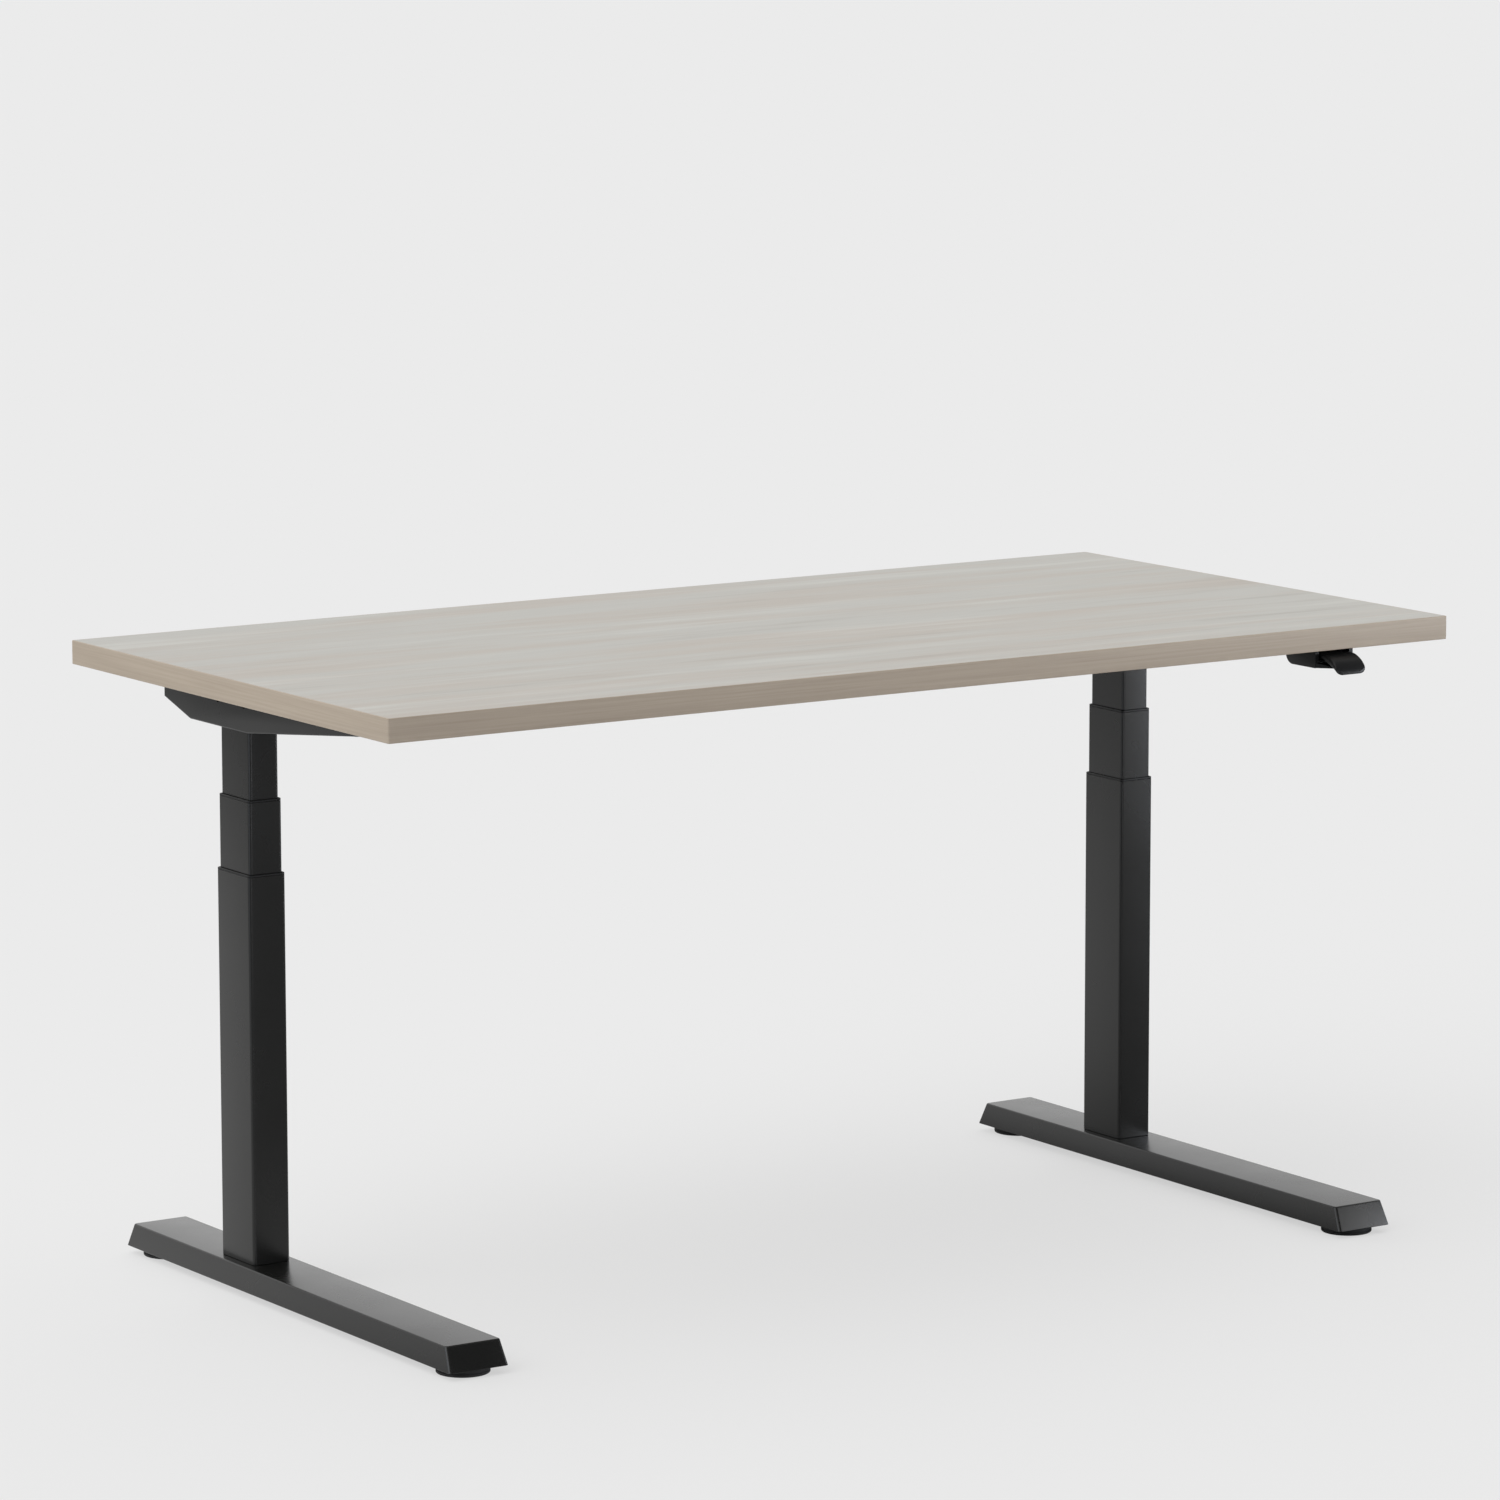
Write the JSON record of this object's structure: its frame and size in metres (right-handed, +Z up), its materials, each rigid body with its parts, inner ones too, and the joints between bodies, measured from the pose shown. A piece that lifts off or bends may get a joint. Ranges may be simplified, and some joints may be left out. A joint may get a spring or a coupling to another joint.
{
  "type": "height adjustable desk",
  "caption": "Electric height adjustable standing desk: rectangular woodgrain top on two telescopic steel columns with flat feet, levelling glides and a paddle switch.",
  "frame": {"origin": "on the floor, under the middle of the tabletop", "axes": "+X to the right of a user who faces the desk, +Y to the back, +Z up"},
  "size_m": [1.524, 0.805, 0.776],
  "materials": {
    "laminate": "matte woodgrain",
    "edge_band": "matte woodgrain",
    "powder_coated_steel": "satin",
    "black_plastic": "satin",
    "bright_steel": "brushed",
    "bronze": "machined",
    "cast_aluminium": "cast",
    "zinc_plated": "plated",
    "glide_rubber": "matte",
    "circuit_board": "matte"
  },
  "bodies": {
    "base": {"foot_left": "powder_coated_steel", "outer_tube_left": "powder_coated_steel", "outer_collar_left": "black_plastic", "column_plate_left": "bright_steel", "stand_tube_left": "bright_steel", "base_nut_left": "bronze", "weld_nut_front_left": "zinc_plated", "weld_nut_back_left": "zinc_plated", "foot_right": "powder_coated_steel", "outer_tube_right": "powder_coated_steel", "outer_collar_right": "black_plastic", "column_plate_right": "bright_steel", "stand_tube_right": "bright_steel", "base_nut_right": "bronze", "weld_nut_front_right": "zinc_plated", "weld_nut_back_right": "zinc_plated"},
    "top": {"tabletop_board": "laminate", "edge_band_front": "edge_band", "edge_band_back": "edge_band", "edge_band_left": "edge_band", "edge_band_right": "edge_band", "rail_front": "powder_coated_steel", "rail_back": "powder_coated_steel", "control_box": "black_plastic", "control_box_lid": "black_plastic", "mains_inlet": "black_plastic", "handset_housing": "black_plastic", "handset_cover": "black_plastic", "handset_circuit_board": "circuit_board", "paddle_pin": "zinc_plated", "inner_tube_left": "powder_coated_steel", "side_bracket_left": "powder_coated_steel", "gearbox_left": "cast_aluminium", "motor_left": "zinc_plated", "inner_tube_right": "powder_coated_steel", "side_bracket_right": "powder_coated_steel", "gearbox_right": "cast_aluminium", "motor_right": "zinc_plated"},
    "paddle": {"handset_paddle": "black_plastic"},
    "middle_left": {"middle_tube_left": "powder_coated_steel", "middle_collar_left": "black_plastic", "lift_tube_left": "bright_steel", "lift_nut_left": "bronze"},
    "hollow_screw_left": {"hollow_screw_left": "bright_steel"},
    "screw_left": {"screw_left": "bright_steel"},
    "glide_front_left": {"glide_pad_front_left": "glide_rubber"},
    "stud_front_left": {"glide_stud_front_left": "zinc_plated"},
    "glide_back_left": {"glide_pad_back_left": "glide_rubber"},
    "stud_back_left": {"glide_stud_back_left": "zinc_plated"},
    "middle_right": {"middle_tube_right": "powder_coated_steel", "middle_collar_right": "black_plastic", "lift_tube_right": "bright_steel", "lift_nut_right": "bronze"},
    "hollow_screw_right": {"hollow_screw_right": "bright_steel"},
    "screw_right": {"screw_right": "bright_steel"},
    "glide_front_right": {"glide_pad_front_right": "glide_rubber"},
    "stud_front_right": {"glide_stud_front_right": "zinc_plated"},
    "glide_back_right": {"glide_pad_back_right": "glide_rubber"},
    "stud_back_right": {"glide_stud_back_right": "zinc_plated"}
  },
  "joints": [
    {"name": "height", "type": "slide", "parent": "base", "child": "top", "axis": [0, 0, 1], "range_m": [-0.15, 0.5]},
    {"name": "middle_stage_left", "type": "slide", "parent": "base", "child": "middle_left", "axis": [0, 0, 1], "range_m": [-0.075, 0.25]},
    {"name": "screw_left_turn", "type": "hinge", "parent": "top", "child": "screw_left", "pos_m": [-0.647, 0.147, 0.4], "axis": [0, 0, 1], "range_deg": [-5401, 18001]},
    {"name": "hollow_screw_left_turn", "type": "hinge", "parent": "middle_left", "child": "hollow_screw_left", "pos_m": [-0.647, 0.147, 0.4], "axis": [0, 0, 1], "range_deg": [-5401, 18001]},
    {"name": "glide_front_left", "type": "slide", "parent": "base", "child": "glide_front_left", "axis": [0, 0, 1], "range_m": [-0.012, 0]},
    {"name": "stud_turn_front_left", "type": "hinge", "parent": "glide_front_left", "child": "stud_front_left", "pos_m": [-0.647, -0.34, 0.02], "axis": [0, 0, 1], "range_deg": [-3458, 2]},
    {"name": "glide_back_left", "type": "slide", "parent": "base", "child": "glide_back_left", "axis": [0, 0, 1], "range_m": [-0.012, 0]},
    {"name": "stud_turn_back_left", "type": "hinge", "parent": "glide_back_left", "child": "stud_back_left", "pos_m": [-0.647, 0.368, 0.02], "axis": [0, 0, 1], "range_deg": [-3458, 2]},
    {"name": "middle_stage_right", "type": "slide", "parent": "base", "child": "middle_right", "axis": [0, 0, 1], "range_m": [-0.075, 0.25]},
    {"name": "screw_right_turn", "type": "hinge", "parent": "top", "child": "screw_right", "pos_m": [0.647, 0.147, 0.4], "axis": [0, 0, 1], "range_deg": [-5401, 18001]},
    {"name": "hollow_screw_right_turn", "type": "hinge", "parent": "middle_right", "child": "hollow_screw_right", "pos_m": [0.647, 0.147, 0.4], "axis": [0, 0, 1], "range_deg": [-5401, 18001]},
    {"name": "glide_front_right", "type": "slide", "parent": "base", "child": "glide_front_right", "axis": [0, 0, 1], "range_m": [-0.012, 0]},
    {"name": "stud_turn_front_right", "type": "hinge", "parent": "glide_front_right", "child": "stud_front_right", "pos_m": [0.647, -0.34, 0.02], "axis": [0, 0, 1], "range_deg": [-3458, 2]},
    {"name": "glide_back_right", "type": "slide", "parent": "base", "child": "glide_back_right", "axis": [0, 0, 1], "range_m": [-0.012, 0]},
    {"name": "stud_turn_back_right", "type": "hinge", "parent": "glide_back_right", "child": "stud_back_right", "pos_m": [0.647, 0.368, 0.02], "axis": [0, 0, 1], "range_deg": [-3458, 2]},
    {"name": "paddle_tilt", "type": "hinge", "parent": "top", "child": "paddle", "pos_m": [0.5946, -0.345, 0.738], "axis": [1, 0, 0], "range_deg": [-5, 5], "stiffness_Nm_per_rad": 0.8}
  ],
  "couplings": [
    {"joint": "middle_stage_left", "follows": "height", "ratio": 0.5},
    {"joint": "screw_left_turn", "follows": "height", "rad_per_m": 628.32},
    {"joint": "hollow_screw_left_turn", "follows": "height", "rad_per_m": 628.32},
    {"joint": "stud_turn_front_left", "follows": "glide_front_left", "rad_per_m": 5026.5},
    {"joint": "stud_turn_back_left", "follows": "glide_back_left", "rad_per_m": 5026.5},
    {"joint": "middle_stage_right", "follows": "height", "ratio": 0.5},
    {"joint": "screw_right_turn", "follows": "height", "rad_per_m": 628.32},
    {"joint": "hollow_screw_right_turn", "follows": "height", "rad_per_m": 628.32},
    {"joint": "stud_turn_front_right", "follows": "glide_front_right", "rad_per_m": 5026.5},
    {"joint": "stud_turn_back_right", "follows": "glide_back_right", "rad_per_m": 5026.5}
  ]
}
